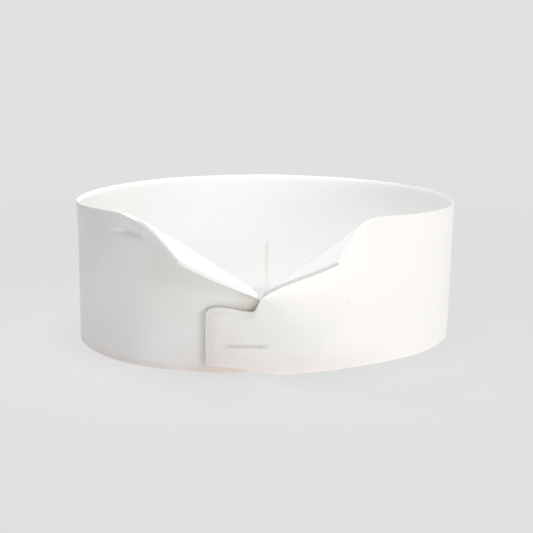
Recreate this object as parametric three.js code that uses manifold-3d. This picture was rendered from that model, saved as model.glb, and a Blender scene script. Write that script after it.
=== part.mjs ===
// A stiff, starched wing collar: one long strip of layered linen, closed into a ring with its front ends
// lapped, standing on its lower edge. Millimetres, +Z up, the front faces -Y.
// A turn is an angle in degrees round the neck, from the middle of the front towards +X. The strip starts
// at the outer lapped end, just before 0, and runs round the back to the inner lapped end, just past 360.
import * as THREE from "three";
import { mergeVertices } from "three/addons/utils/BufferGeometryUtils.js";
import Module from "manifold-3d";

const cloth = 1.2; // thickness of the starched linen
const lapGap = 0.4; // air between the two lapped ends
const bandHeight = 44.8; // height of the band at the back and the sides
const ringCentre = { x: -2.08, y: 2.835 }; // where the radii below are measured from
const bendRadius = 1.0; // middle of the cloth where a wing turns out of the wall
const creaseBlend = 0.8; // rounds the corner where a crease runs into the rim

// Outer face of the band: its radius at the foot, how far the wall leans out up to the rim, and how far the
// rim rises over the band's height
const ring = [
  { turn: 0, radius: 60.1, lean: 0.8, rise: 1.25 },
  { turn: 30, radius: 57.5, lean: 0.9, rise: 0.65 },
  { turn: 60, radius: 60.1, lean: 0.9, rise: 0.0 },
  { turn: 90, radius: 63.3, lean: 0.65, rise: -0.1 },
  { turn: 120, radius: 65.6, lean: 0.5, rise: 0.2 },
  { turn: 150, radius: 68.3, lean: 0.2, rise: 0.35 },
  { turn: 180, radius: 67.6, lean: 0.2, rise: 0.45 },
  { turn: 210, radius: 63.0, lean: 0.15, rise: 0.35 },
  { turn: 240, radius: 58.9, lean: 0.15, rise: 0.15 },
  { turn: 270, radius: 59.2, lean: 0.3, rise: 0.1 },
  { turn: 300, radius: 62.6, lean: 0.3, rise: 0.45 },
  { turn: 330, radius: 63.9, lean: 0.5, rise: 1.1 },
];

// Each wing turns out of the wall along a crease that climbs from the front edge to the rim. low and high
// are the crease's ends, bow is its rise off a straight line, turned is the bend in degrees at the low end,
// in the middle and at the high end, and blunt rounds the wing's tip.
const wings = [
  {
    low: { turn: 1.35, height: 22.5 },
    high: { turn: 37.7, height: 45.6 },
    bow: 0.1,
    turned: { low: 72, middle: 85, high: 62 },
    blunt: 0.2,
  },
  {
    low: { turn: 361.6, height: 21.9 },
    high: { turn: 321.3, height: 45.9 },
    bow: 1.6,
    turned: { low: 96, middle: 90, high: 57 },
    blunt: 1.6,
  },
];

// Both wings are cut alike: reach is the width past the bend at the tip, tipAt is the tip's share of the way
// up the crease, and rearCurve and frontCurve bend the two free edges
const wingCut = { reach: 15.5, tipAt: 0.475, rearCurve: 1.85, frontCurve: 0.73 };

// Outline of a lapped end, by the turn past the low end of its crease
const tab = [
  { past: -4.0, foot: 0.0 },
  { past: 0.5, foot: 0.95 },
  { past: 1.6, top: 19.0, foot: 1.15 },
  { past: 5.4, top: 19.2, foot: 1.75 },
  { past: 8.2, top: 20.0, foot: 2.15 },
  { past: 10.8, top: 20.1, foot: 2.45 },
  { past: 14.6, top: 20.1, foot: 2.65 },
];
const tabLength = 14.6; // turn from the crease's low end to the end of the strip
const topCorner = 2.6; // radius of the tab's upper corner
const footCorner = 1.0; // radius of its lower corner

// The wall's own dents: a ridge that the fold raised below the rim, behind the inner end's wing, with a
// groove under it, the rim's flare at the -X side, and a long low swell that slants down across the front
// beside the lapped end
const ridge = {
  start: -45,
  full: -37,
  fade: -35,
  end: -30,
  height: 40.9,
  arch: 0.045,
  push: 0.7,
  below: 0.45,
  above: 3.5,
  groove: 0.8,
  valley: 1.1,
};
const flare = { turn: -72, spread: 14, push: 0.5, depth: 6 };
const swell = { turn: 9.5, height: 14.5, slant: -44, length: 16, width: 7, push: 1.6 };

// Closed buttonholes: a lying one through both lapped ends, and a standing one at the middle of the back
const slitWidth = 0.5;
const slitDepth = 12; // of the box that cuts a slit, well through the wall
const frontSlit = { length: 10, turn: -2.0, height: 8.6 };
const backSlit = { length: 14, turn: 180, height: 9.9 };

// Steps of the surface
const bandSteps = [0, 0.12, 0.25, 0.38, 0.52, 0.66, 0.78, 0.85, 0.87, 0.888, 0.905, 0.922, 0.94, 0.965, 1];
const bendSteps = 4;
const flapSteps = 4;
const wingColumns = 10; // on each side of a wing's tip
const bandColumns = 96;
const tabColumns = [0, 1.6, 5.4, 8.2, 10.8, 12.2, 13.2, 14.0, 14.4, 14.6];

const radians = THREE.MathUtils.degToRad;
const smoothstep = THREE.MathUtils.smoothstep;
const lerp = THREE.MathUtils.lerp;
const up = new THREE.Vector3(0, 0, 1);

const smallerOf = (a, b, blend) => (a + b - Math.hypot(a - b, blend)) / 2;
const fromFront = (turn) => THREE.MathUtils.euclideanModulo(turn + 180, 360) - 180;

// Value of a column of the ring table at any turn, on a smooth closed curve through its rows
function ringValue(turn, column) {
  const step = 360 / ring.length;
  const place = THREE.MathUtils.euclideanModulo(turn, 360) / step;
  const row = Math.floor(place);
  const [a, b, c, d] = [-1, 0, 1, 2].map((k) => ring[(row + k + ring.length) % ring.length][column]);
  const s = place - row;
  return b + 0.5 * s * (c - a + s * (2 * a - 5 * b + 4 * c - d + s * (3 * (b - c) + d - a)));
}

// Straight-line value of a column of the tab table
function tabValue(past, column) {
  const rows = tab.filter((row) => column in row);
  const next = rows.findIndex((row) => row.past >= past);
  if (next === 0) return rows[0][column];
  if (next < 0) return rows.at(-1)[column];
  const [a, b] = [rows[next - 1], rows[next]];
  return lerp(a[column], b[column], (past - a.past) / (b.past - a.past));
}

function rimHeight(turn) {
  return bandHeight + ringValue(turn, "rise");
}

// How far the strip stands out of the ring where its ends lap: the outer end out, the inner end in
function lapShift(turn) {
  const half = (cloth + lapGap) / 2;
  return half * (1 - smoothstep(turn, 18, 45)) - half * smoothstep(turn, 315, 342);
}

function dents(turn, height) {
  const side = fromFront(turn);
  const along = smoothstep(side, ridge.start, ridge.full) * (1 - smoothstep(side, ridge.fade, ridge.end));
  const rise = height - ridge.height + ridge.arch * (side - ridge.full) ** 2;
  const hump = (ridge.push + ridge.groove) * Math.exp(-((rise / ridge.below) ** 2));
  const under = hump - ridge.groove * Math.exp(-((rise / ridge.valley) ** 2));
  const over = ridge.push * Math.exp(-((rise / ridge.above) ** 2));
  const raised = along * (rise < 0 ? under : over);
  const near = Math.exp(-(((side - flare.turn) / flare.spread) ** 2));
  const flared = flare.push * near * Math.exp(-(((rimHeight(turn) - height) / flare.depth) ** 2));
  const beside = radians(side - swell.turn) * ring[0].radius;
  const above = height - swell.height;
  const slant = radians(swell.slant);
  const down = (beside * Math.cos(slant) + above * Math.sin(slant)) / swell.length;
  const across = (above * Math.cos(slant) - beside * Math.sin(slant)) / swell.width;
  return raised + flared + swell.push * Math.exp(-(down ** 2) - across ** 2);
}

function ringPoint(turn, height) {
  const radius = ringValue(turn, "radius") + (ringValue(turn, "lean") * height) / bandHeight;
  const angle = radians(turn - 90);
  return new THREE.Vector3(radius * Math.cos(angle), radius * Math.sin(angle), height);
}

// Level direction out of the wall
function outward(turn) {
  const along = ringPoint(turn + 0.5, 0).sub(ringPoint(turn - 0.5, 0));
  return along.cross(up).normalize();
}

// Point on the wall, out from its middle by side: half the cloth is the outer face
function wallPoint(turn, height, side) {
  const out = lapShift(turn) + dents(turn, height) - cloth / 2 + side;
  return ringPoint(turn, height).addScaledVector(outward(turn), out);
}

// Height of the band's upper edge along a crease, or of the rim where the crease has run into it
function creaseHeight(wing, turn) {
  const share = (turn - wing.low.turn) / (wing.high.turn - wing.low.turn);
  const straight = lerp(wing.low.height, wing.high.height, share);
  const bowed = wing.bow * 4 * share * (1 - Math.min(share, 1));
  return smallerOf(straight + bowed, rimHeight(turn), creaseBlend);
}

function wingWidth(wing, share) {
  const peak = wingCut.reach + wing.blunt / 2;
  const front = peak * (share / wingCut.tipAt) ** wingCut.frontCurve;
  const rear = peak * ((1 - share) / (1 - wingCut.tipAt)) ** wingCut.rearCurve;
  return Math.max(0, smallerOf(front, rear, wing.blunt));
}

function wingBend(wing, share) {
  const { low, middle, high } = wing.turned;
  const atLow = low * (1 - share) * (1 - 2 * share);
  const atMiddle = middle * 4 * share * (1 - share);
  const atHigh = high * share * (2 * share - 1);
  return radians(atLow + atMiddle + atHigh);
}

// Point on a wing: past is the way over the bend and out along the flap, side as on the wall
function wingPoint(wing, turn, share, past, side) {
  const crease = (at) => wallPoint(at, creaseHeight(wing, at), 0);
  const along = crease(turn + 0.3).sub(crease(turn - 0.3)).normalize();
  const out = outward(turn);
  out.addScaledVector(along, -out.dot(along)).normalize();
  const rise = out.clone().cross(along);
  rise.multiplyScalar(Math.sign(rise.z));
  const angle = Math.min(past / bendRadius, wingBend(wing, share));
  const straight = past - angle * bendRadius;
  const upward = (bendRadius - side) * Math.sin(angle) + straight * Math.cos(angle);
  const sideways = bendRadius - (bendRadius - side) * Math.cos(angle) + straight * Math.sin(angle);
  return crease(turn).addScaledVector(rise, upward).addScaledVector(out, sideways);
}

// Way past the bend at each row of a wing: the bend's own rows, then the flat rows out to the free edge
function wingRows(wing, share) {
  const width = wingWidth(wing, share);
  const bendEnd = Math.min(bendRadius * wingBend(wing, share), width / 2);
  const rows = [];
  for (let i = 1; i <= bendSteps; i += 1) rows.push((bendEnd * i) / bendSteps);
  for (let i = 1; i <= flapSteps; i += 1) rows.push(lerp(bendEnd, width, i / flapSteps));
  return rows;
}

// Which wing a turn belongs to: the front half of the strip's own end
const wingAt = (turn) => (turn < 180 ? wings[0] : wings[1]);
const pastCrease = (wing, turn) => (wing === wings[0] ? wing.low.turn - turn : turn - wing.low.turn);

function bandEdges(turn) {
  const wing = wingAt(turn);
  const past = pastCrease(wing, turn);
  let foot = tabValue(past, "foot");
  if (past <= 0) return { foot, top: creaseHeight(wing, turn) };
  const notch = tab.find((row) => "top" in row);
  const falling = lerp(creaseHeight(wing, wing.low.turn), notch.top, past / notch.past);
  let top = past < notch.past ? falling : tabValue(past, "top");
  const fromEnd = Math.max(0, radians(tabLength - past)) * ringValue(turn, "radius");
  const rounded = (corner) => corner - Math.sqrt(corner ** 2 - Math.max(0, corner - fromEnd) ** 2);
  top -= rounded(topCorner);
  foot += rounded(footCorner);
  return { foot, top };
}

// One column of the strip, from the foot up the band and over the wing, on one face of the cloth
function column(turn, side) {
  const { foot, top } = bandEdges(turn);
  const points = bandSteps.map((step) => wallPoint(turn, lerp(foot, top, step), side));
  const wing = wingAt(turn);
  const share = (turn - wing.low.turn) / (wing.high.turn - wing.low.turn);
  if (share < 0 || share > 1) {
    const edge = points.at(-1);
    return points.concat(Array.from({ length: bendSteps + flapSteps }, () => edge.clone()));
  }
  points[points.length - 1] = wingPoint(wing, turn, share, 0, side);
  return points.concat(wingRows(wing, share).map((past) => wingPoint(wing, turn, share, past, side)));
}

function spread(from, to, count) {
  return Array.from({ length: count + 1 }, (_, i) => lerp(from, to, i / count));
}

function stripTurns() {
  const [outer, inner] = wings;
  const tips = wings.map((wing) => lerp(wing.low.turn, wing.high.turn, wingCut.tipAt));
  return [
    ...tabColumns.toReversed().map((past) => outer.low.turn - past),
    ...spread(outer.low.turn, tips[0], wingColumns).slice(1),
    ...spread(tips[0], outer.high.turn, wingColumns).slice(1),
    ...spread(outer.high.turn, inner.high.turn, bandColumns).slice(1),
    ...spread(inner.high.turn, tips[1], wingColumns).slice(1),
    ...spread(tips[1], inner.low.turn, wingColumns).slice(1),
    ...tabColumns.slice(1).map((past) => inner.low.turn + past),
  ];
}

// The whole strip as one closed shell: its two faces, joined round the border
function stripGeometry() {
  const turns = stripTurns();
  const faces = [cloth / 2, -cloth / 2].map((side) => turns.map((turn) => column(turn, side)));
  const rows = faces[0][0].length;
  const points = faces.flat(2);
  const index = (face, i, j) => (face * turns.length + i) * rows + j;
  const triangles = [];
  const quad = (a, b, c, d) => triangles.push([a, b, c], [a, c, d]);
  const [outer, inner] = [0, 1];
  for (let i = 0; i < turns.length - 1; i += 1) {
    for (let j = 0; j < rows - 1; j += 1) {
      quad(index(outer, i, j), index(outer, i + 1, j), index(outer, i + 1, j + 1), index(outer, i, j + 1));
      quad(index(inner, i, j), index(inner, i, j + 1), index(inner, i + 1, j + 1), index(inner, i + 1, j));
    }
    const top = rows - 1;
    quad(index(outer, i, 0), index(inner, i, 0), index(inner, i + 1, 0), index(outer, i + 1, 0));
    quad(index(outer, i, top), index(outer, i + 1, top), index(inner, i + 1, top), index(inner, i, top));
  }
  const last = turns.length - 1;
  for (let j = 0; j < rows - 1; j += 1) {
    quad(index(outer, 0, j), index(outer, 0, j + 1), index(inner, 0, j + 1), index(inner, 0, j));
    quad(index(outer, last, j), index(inner, last, j), index(inner, last, j + 1), index(outer, last, j + 1));
  }
  const geometry = new THREE.BufferGeometry().setFromPoints(points);
  geometry.setIndex(triangles.flat());
  return withoutSlivers(mergeVertices(geometry, 1e-4));
}

// Drops the triangles that closed up where a wing narrows to nothing
function withoutSlivers(geometry) {
  const old = geometry.getIndex().array;
  const kept = [];
  for (let i = 0; i < old.length; i += 3) {
    const [a, b, c] = old.slice(i, i + 3);
    if (a !== b && b !== c && c !== a) kept.push(a, b, c);
  }
  geometry.setIndex(kept);
  return geometry;
}

// A thin box through the wall at a buttonhole
function slitGeometry(slit, width, height) {
  const box = new THREE.BoxGeometry(width, slitDepth, height);
  const centre = ringPoint(slit.turn, slit.height);
  return box.rotateZ(radians(slit.turn)).translate(centre.x, centre.y, centre.z);
}

const wasm = await Module();
wasm.setup();

function toSolid(geometry) {
  geometry.deleteAttribute("normal");
  geometry.deleteAttribute("uv");
  const merged = mergeVertices(geometry, 1e-4);
  const vertProperties = new Float32Array(merged.getAttribute("position").array);
  const triVerts = new Uint32Array(merged.getIndex().array);
  return new wasm.Manifold(new wasm.Mesh({ numProp: 3, vertProperties, triVerts }));
}

function toGeometry(solid) {
  const mesh = solid.getMesh();
  const geometry = new THREE.BufferGeometry();
  geometry.setAttribute("position", new THREE.BufferAttribute(new Float32Array(mesh.vertProperties), 3));
  geometry.setIndex(new THREE.BufferAttribute(new Uint32Array(mesh.triVerts), 1));
  geometry.computeVertexNormals();
  return geometry;
}

function collarGeometry() {
  const front = slitGeometry(frontSlit, frontSlit.length, slitWidth);
  const back = slitGeometry(backSlit, slitWidth, backSlit.length);
  return toGeometry(toSolid(stripGeometry()).subtract(toSolid(front)).subtract(toSolid(back)));
}

const linen = new THREE.MeshStandardMaterial({ color: 0xf4f1ea, roughness: 0.55, metalness: 0 });

const collar = new THREE.Mesh(collarGeometry(), linen);
collar.name = "collar";
collar.position.set(ringCentre.x, ringCentre.y, 0);

const wingCollar = new THREE.Group();
wingCollar.add(collar);

export default wingCollar;
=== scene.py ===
"""Dresses the wing collar's CAD frame: its starched linen, the stitching of its two buttonholes, and a
plain pale studio. Blender's lengths are metres and the tables below are millimetres. +Z is up, and the
front faces -Y. A turn is an angle in degrees round the neck, from the middle of the front towards +X.
"""

import math
from collections import namedtuple

import bmesh
import bpy
from bpy.props import FloatProperty, FloatVectorProperty, PointerProperty
from mathutils import Matrix, Vector, noise


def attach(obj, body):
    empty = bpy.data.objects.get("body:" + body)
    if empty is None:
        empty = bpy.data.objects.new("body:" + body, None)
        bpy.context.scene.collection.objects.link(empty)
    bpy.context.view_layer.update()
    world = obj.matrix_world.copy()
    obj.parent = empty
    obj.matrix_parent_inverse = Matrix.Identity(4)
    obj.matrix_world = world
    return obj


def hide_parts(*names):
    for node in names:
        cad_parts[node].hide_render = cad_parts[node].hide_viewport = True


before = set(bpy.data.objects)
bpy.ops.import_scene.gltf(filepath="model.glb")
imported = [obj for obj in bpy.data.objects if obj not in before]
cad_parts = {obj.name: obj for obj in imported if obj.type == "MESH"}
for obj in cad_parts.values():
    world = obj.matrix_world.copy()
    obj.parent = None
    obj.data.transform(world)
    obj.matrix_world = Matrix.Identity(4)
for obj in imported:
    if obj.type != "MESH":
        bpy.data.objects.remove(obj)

bl_info = {
    "name": "Wing collar",
    "version": (1, 0, 0),
    "blender": (4, 5, 0),
    "location": "View3D > Sidebar > Wing collar",
    "description": "Makes a starched wing collar with stitched buttonholes, and a studio for it",
    "category": "Object",
}

MM = 0.001

# How far apart a tree's nodes are laid, and in how many rows
NODE_APART = 180
NODE_DROP = 60
NODE_ROWS = 4

# The middle of the ring, how softly a crease runs into the rim, and the turn that directions are taken over
RING_CENTRE = Vector((-2.08, 2.835, 0.0))
CREASE_BLEND = 0.8
TURN_STEP = 0.3

# Outer face of the band at every 30 degrees: its radius at the foot, how far the wall leans out up to the
# rim, and how far the rim rises over the band's height
RING = {
    "radius": (60.1, 57.5, 60.1, 63.3, 65.6, 68.3, 67.6, 63.0, 58.9, 59.2, 62.6, 63.9),
    "lean": (0.8, 0.9, 0.9, 0.65, 0.5, 0.2, 0.2, 0.15, 0.15, 0.3, 0.3, 0.5),
    "rise": (1.25, 0.65, 0.0, -0.1, 0.2, 0.35, 0.45, 0.35, 0.15, 0.1, 0.45, 1.1),
}

# The crease of each wing, from its low end at the front edge to its high end at the rim, and how far it
# bows. Turned is how far the wing bends at its low end, middle and high end, and blunt is for its tip
Wing = namedtuple("Wing", "low_turn low_height high_turn high_height bow turned blunt")
OUTER_WING = Wing(1.35, 22.5, 37.7, 45.6, bow=0.1, turned=(72, 85, 62), blunt=0.2)
INNER_WING = Wing(361.6, 21.9, 321.3, 45.9, bow=1.6, turned=(96, 90, 57), blunt=1.6)
WING_REACH = 15.5
WING_TIP_AT = 0.475
WING_REAR_CURVE = 1.85
WING_FRONT_CURVE = 0.65

# Outline of a lapped end, by the turn past the low end of its crease
TAB_TOP = [(1.6, 19.0), (5.4, 19.2), (8.2, 20.0), (10.8, 20.1), (14.6, 20.1)]
TAB_FOOT = [(-4.0, 0.0), (0.5, 0.95), (1.6, 1.15), (5.4, 1.75), (8.2, 2.15), (10.8, 2.45), (14.6, 2.65)]
TAB_LENGTH = 14.6
TAB_TOP_CORNER = 2.6
TAB_FOOT_CORNER = 1.0

# The turns between which the outer and the inner end come away from each other
OUTER_LAP_ENDS = (18, 45)
INNER_LAP_STARTS = (315, 342)

# The ridge that the fold raised below the rim with the groove under it, the rim's flare at the -X side,
# and the long low swell that slants down across the front beside the lapped end. A dark line of painted
# shade lies in the groove, a little below the ridge's crest, in the colour of old dust
RIDGE = {"start": -45, "full": -37, "fade": -35, "end": -30, "height": 40.9, "arch": 0.045}
RIDGE_PUSH = 0.7
RIDGE_BELOW = 0.45
RIDGE_ABOVE = 3.5
GROOVE_DEPTH = 0.8
GROOVE_HEIGHT = 1.1
# The groove's painted shade line: the turns where it starts, is full, fades and ends, how far below the
# crest its middle lies, and its half height
GROOVE_SHADE = {"start": -40, "full": -35.5, "fade": -32, "end": -30, "below": 0.4, "half": 0.6}
FLARE = {"turn": -72, "spread": 14, "push": 0.5, "depth": 6}
SWELL = {"turn": 9.5, "height": 14.5, "slant": -44, "length": 16, "width": 7, "push": 1.6}

# A slow and a quick unevenness of the pressed cloth: how far apart their waves are
WAVER_SLOW = 24
WAVER_QUICK = 9
WAVER_QUICK_SHARE = 0.3
WAVER_APART = Vector((5, 3, 1))

# The buttonholes: their length, the turn and height of their middle, whether they lie, how many degrees
# further on they are sewn on the inner face, and how far their stitches stand out of the cloth
FRONT_SLIT = {"length": 10.0, "turn": -2.0, "height": 8.6, "lies": True, "round": 360, "proud": 0.05}
BACK_SLIT = {"length": 14.0, "turn": 180.0, "height": 9.9, "lies": False, "round": 0, "proud": 0.025}

# How far each face stands from the cloth's middle at an edge's rows, as shares of half the cloth: at a cut
# edge, at the foot, and on the inner face of the band's rim, which is pressed to a slope. A wing's cut edge
# passes into the rim between two shares of its crease. The lapped ends have one share at their end columns,
# and the outer end is pressed down towards its edges, over a width that begins beside the notch
EDGE_ROWS = (0.06, 0.3, 1.3)
CUT_SHARE = (1.12, 1.0, 1.0)
FOOT_SHARE = (0.55, 0.85, 1.0)
RIM_SHARE = (-0.6, 0.45, 1.0)
RIM_FROM = (0.78, 0.9)
END_SHARE = 0.86
PRESSED_SHARE = 0.3
PRESSED_IN = 3.0
PRESSED_FROM = (0.5, 3.0)

# Rows and columns of the sheet. The band's rows between its edges stand at shares of its height, close
# together where the ridge runs. The edges' rows close up where the cloth is narrower than so many
# millimetres. A tab's columns stand at turns past its crease. A buttonhole parts two rows at the front and
# two columns at the back, and the rows beside the front one are eased after them
BAND_STEPS = (
    (0.06, 0.12, 0.18, 0.24, 0.3, 0.36, 0.42, 0.48, 0.54, 0.6, 0.66, 0.72, 0.77, 0.81)
    + (0.838, 0.858, 0.873, 0.886, 0.898, 0.91, 0.922, 0.934, 0.947, 0.962, 0.98)
)
NARROWEST = 6
BEND_ROWS = 6
FLAP_STEPS = (0.25, 0.5, 0.75)
BAND_ROWS = 2 * len(EDGE_ROWS) + len(BAND_STEPS)
ALL_ROWS = BAND_ROWS + BEND_ROWS + len(FLAP_STEPS) + len(EDGE_ROWS)
TAB_COLUMNS = (
    (0, 0.5, 1.0, 1.6, 2.6, 3.8, 5.0, 6.1, 7.3)
    + (8.4, 9.6, 10.7, 11.7, 12.6, 13.4, 14.0, 14.35, 14.54)
)
WING_COLUMNS = 13
TIP_STEP = 0.01
BAND_COLUMNS = 168
GRID_NUMBERS = ("column", "row", "layer")
MASKS = ("inner_face", "edge_distance", "groove", "cut_shade")
JOINED_WITHIN = 0.002
FRONT_SLIT_ROW = 7
FRONT_SLIT_EASE_TURNS = (1, 9)
FRONT_SLIT_EASE_ROWS = 4
BACK_SLIT_COLUMNS = (0.1, 0.3)

# Buttonhole stitches: how long and how close they are, how far they reach over the slit, how far and how
# quickly they stray, how the thread's width, thickness and length fill one, the thread's grain, how far it
# has faded and the front ones have gone grey from handling, and how the tack's stitches shorten
STITCHES = ("front_buttonhole_stitches", "back_buttonhole_stitches")
STITCH_LENGTH = 1.5
STITCH_PITCH = 0.36
STITCH_OVER = 0.4
STITCH_STRAY = 0.08
STRAY_QUICKNESS = 3
STITCH_SHAPE = (0.62, 0.5, 0.55)
STITCH_GRAIN = 700.0
STITCH_FADED = 0.5
STITCH_GRIME = 0.22
THREAD_ROUGHNESS = 0.6
THREAD_SHEEN = 0.1
TACK_STITCHES = 5
TACK_START = 0.9
TACK_SHORTER = 0.05

# The weave and its slubs, the line that the edge's stitching presses into the cloth, and the painted shade
# in the groove and on the outer wing's front cut edge, from the low end of its crease to its tip
WEAVE_PITCH = 0.4
WEAVE_BUMP = 0.06
BUMP_STRENGTH = 0.25
SLUB_SHADE = (0.70, 0.69, 0.67)
SLUB_TINT = 0.05
SLUB_LENGTHS = (45, 1400)
SLUB_RANGE = (0.3, 0.7)
WARP_SHARE = 0.65
THREAD_WOBBLE = 0.12
WOBBLE_GRAIN = 900.0
THREAD_HEIGHT = 0.5
SLUB_HEIGHT = 0.6
LINEN_ROUGHNESS = (0.52, 0.60)
LINEN_SPECULAR = 0.3
LINEN_SHEEN = 0.05
LINEN_SHEEN_ROUGHNESS = 0.5
INNER_FACE_FROM = (0.1, 0.4)
EDGE_LINE_IN = 1.45
EDGE_LINE_HALF = 0.3
EDGE_LINE_TINT = 0.05
GROOVE_SHADE_TINT = 0.6
CUT_SHADE_TINT = (0.15, 0.5)

# Toned places on the linen, some of them painted shade or painted light: their colour, the turn and the
# height of their middle, half their width and height on the flat cut, how soft and how ragged their border
# is, and how much of the colour they take on
STAIN_GRAIN = 160.0
STAINS = [
    ("cream", (60, 24), (58, 60), 0.35, 0.3, 1.0),
    ("cream", (-13, 8), (16, 30), 0.8, 0.5, 0.5),
    # The next two darken the lapped end where the swell's slope turns from the light: painted shade
    ("straw_and_shade", (7, 9.5), (14, 6.3), 0.7, 0.4, 1.0),
    ("shade", (11.5, 8), (7, 5.5), 0.8, 0.3, 0.7),
    # The next two give the -X wall its dull tone and darken it where less light falls: partly painted shade
    ("straw_and_shade", (342, 14), (18, 26), 0.9, 0.5, 0.7),
    ("straw_and_shade", (316, 2), (18, 8), 0.9, 0.5, 0.3),
    # The next two lift the colour back to clean linen where the -X wall catches more light, low towards the
    # front and above the ridge: painted light
    ("linen", (335, 9), (9, 7), 0.9, 0.4, 0.7),
    ("linen", (327, 42.5), (5, 3), 0.9, 0.3, 1.0),
    # The next three darken the far -X wall at its top, middle and foot, where little light falls: painted
    # shade
    ("dust_and_shade", (303, 42), (17, 11), 0.9, 0.2, 0.24),
    ("shade", (296, 30), (14, 13), 0.8, 0.3, 0.9),
    ("shade", (306, 5), (17, 9), 0.8, 0.3, 0.9),
    ("blush", (-11, 7), (6, 12), 0.6, 0.6, 0.42),
    ("blush", (-6, 2), (9, 6), 0.7, 0.6, 0.5),
    ("blush", (12, 1), (26, 5), 0.7, 0.6, 0.55),
    ("blush", (315, 0), (46, 1.9), 0.7, 0.6, 0.85),
    ("blush", (348, 4), (12, 5), 0.8, 0.8, 0.4),
    ("brown_and_shade", (352, 1), (9, 1.8), 0.5, 0.6, 0.42),
    # A thin dark line beside the lapped end's edge: dust, and the painted shadow of the lapped end's step
    ("dust_and_shade", (346.6, 11.5), (0.5, 7.4), 0.2, 0.2, 0.8),
    # The next two tone the notch under the wing brown with old starch and add painted shade in its corner
    ("brown_and_shade", (358.0, 20.4), (3.8, 2.5), 0.9, 0.6, 0.42),
    ("dust_and_shade", (355.5, 19.8), (6, 3.0), 0.9, 0.6, 0.12),
    ("dust_and_shade", (27.6, 20.7), (0.7, 0.6), 0.9, 0.5, 0.12),
    ("dust_and_shade", (357, 15.2), (0.3, 0.3), 0.9, 0.2, 0.4),
]
INNER_STAINS = [
    # The two shade patches darken the inner wall below the rim, at the back and on the +X side: painted
    # shade
    ("shade", (195, 40), (46, 11), 0.8, 0.3, 1.0),
    ("shade", (120, 40), (26, 11), 0.8, 0.3, 0.9),
    ("straw_and_shade", (180, 10), (1.4, 7.5), 0.5, 0.2, 0.35),
    ("dust_and_shade", (198.3, 32.2), (0.6, 0.6), 0.9, 0.3, 0.12),
    ("cream", (262, 38), (34, 14), 0.6, 0.5, 0.7),
]

CAMERA_PLACE = Vector((9.391, -388.455, 92.691)) * MM
CAMERA_YAW = 0.025
CAMERA_PITCH = 0.181
CAMERA_ROLL = 0.0144
CAMERA_LENS = 79.53
CAMERA_SENSOR = 36
CAMERA_CLIP = (0.01, 100)

# Round lights, each at a turn round the collar, tilted up from the floor and so many metres away, with its
# width in metres and its power in watts
LIGHTS = [
    ("Front right", 52, 40, 1.1, 0.6, 1.5),
    ("Right low", 52, 10, 1.1, 0.35, 3.9),
    ("Front low", 20, 15, 1.1, 0.6, 0.8),
    ("Top", 0, 85, 1.1, 0.8, 7.8),
    ("High left", 300, 60, 1.1, 0.6, 1.9),
    ("Over the opening", 280, 65, 0.13, 0.05, 0.072),
]
LIGHTS_AIM = Vector((0, 0, 0.023))

# The floor shines by itself, stronger on the collar than in the picture, as a wide white table lights what
# stands on it. It takes a faint shadow near the collar, which fades out with distance
FLOOR_GLOW = 1.42
FLOOR_SHADE = 0.11
FLOOR_LIT = 0.106
FLOOR_NEAR = 0.10
FLOOR_FAR = 0.45
FLOOR_RADIUS = 60
FLOOR_SIDES = 96


def a_length(name, description, millimetres, least=0.0):
    return FloatProperty(
        name=name, description=description, default=millimetres * MM, min=least * MM, unit="LENGTH"
    )


def a_colour(name, whose, default):
    description = f"Colour of {whose}"
    return FloatVectorProperty(
        name=name, description=description, default=default, min=0.0, max=1.0, subtype="COLOR"
    )


class CollarSizes(bpy.types.PropertyGroup):
    """The collar's sizes that a user may change."""

    cloth: a_length("Cloth", "Thickness of the layered, starched linen", 1.2, least=0.6)
    lap_gap: a_length("Lap gap", "Air between the two lapped ends", 0.4, least=0.1)
    band_height: a_length("Band height", "Height of the band at the back and the sides", 44.8, least=30)
    bend_radius: a_length("Bend radius", "Radius of the cloth's middle where a wing turns", 1.0, least=0.7)
    slit: a_length("Slit", "Width of a closed buttonhole", 0.03, least=0.02)
    thread: a_length("Thread", "Thickness of the buttonhole thread", 0.3, least=0.1)
    waviness: a_length("Waviness", "How far the stiff cloth wanders from its true shape", 0.1)


class CollarFinish(bpy.types.PropertyGroup):
    """The collar's colours."""

    linen: a_colour("Linen", "the clean, bleached linen", (0.92, 0.918, 0.912))
    cream: a_colour("Cream", "the linen where broad areas have yellowed", (0.93, 0.907, 0.868))
    blush: a_colour("Blush", "the toning at the lapped end and along the foot", (0.84, 0.765, 0.735))
    # This brown is old starch, and in the notch's corner it also paints shade
    brown_and_shade: a_colour("Brown", "the old starch in the notch and under the lapped end", (0.70, 0.56, 0.44))
    # This grey-brown is old dust, and it also paints shade: in the groove, beside the lapped end, on the
    # wing's cut edge and on the far -X wall
    dust_and_shade: a_colour("Grime", "the old dust in the groove and beside the lapped end", (0.50, 0.475, 0.445))
    # This straw is dull linen, and it also paints shade on the lapped end and the -X wall
    straw_and_shade: a_colour("Straw", "the dull linen beside and on the lapped end", (0.875, 0.868, 0.825))
    # This grey paints shade where the walls get less light: on the lapped end, the far -X wall, and inside
    # at the back and the +X side
    shade: a_colour("Shade", "the linen where it has greyed inside the back", (0.86, 0.857, 0.848))
    thread: a_colour("Thread", "the buttonhole thread", (0.88, 0.865, 0.835))
    floor: a_colour("Floor", "the studio's floor and its surroundings", (0.752, 0.752, 0.752))


def smoothstep(value, low, high):
    share = min(max((value - low) / (high - low), 0.0), 1.0)
    return share * share * (3 - 2 * share)


def lerp(a, b, share):
    return a + (b - a) * share


def within(value, stretch):
    """How far a value lies inside a stretch that has a start, a full, a fade and an end."""
    grown = smoothstep(value, stretch["start"], stretch["full"])
    return grown * (1 - smoothstep(value, stretch["fade"], stretch["end"]))


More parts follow.
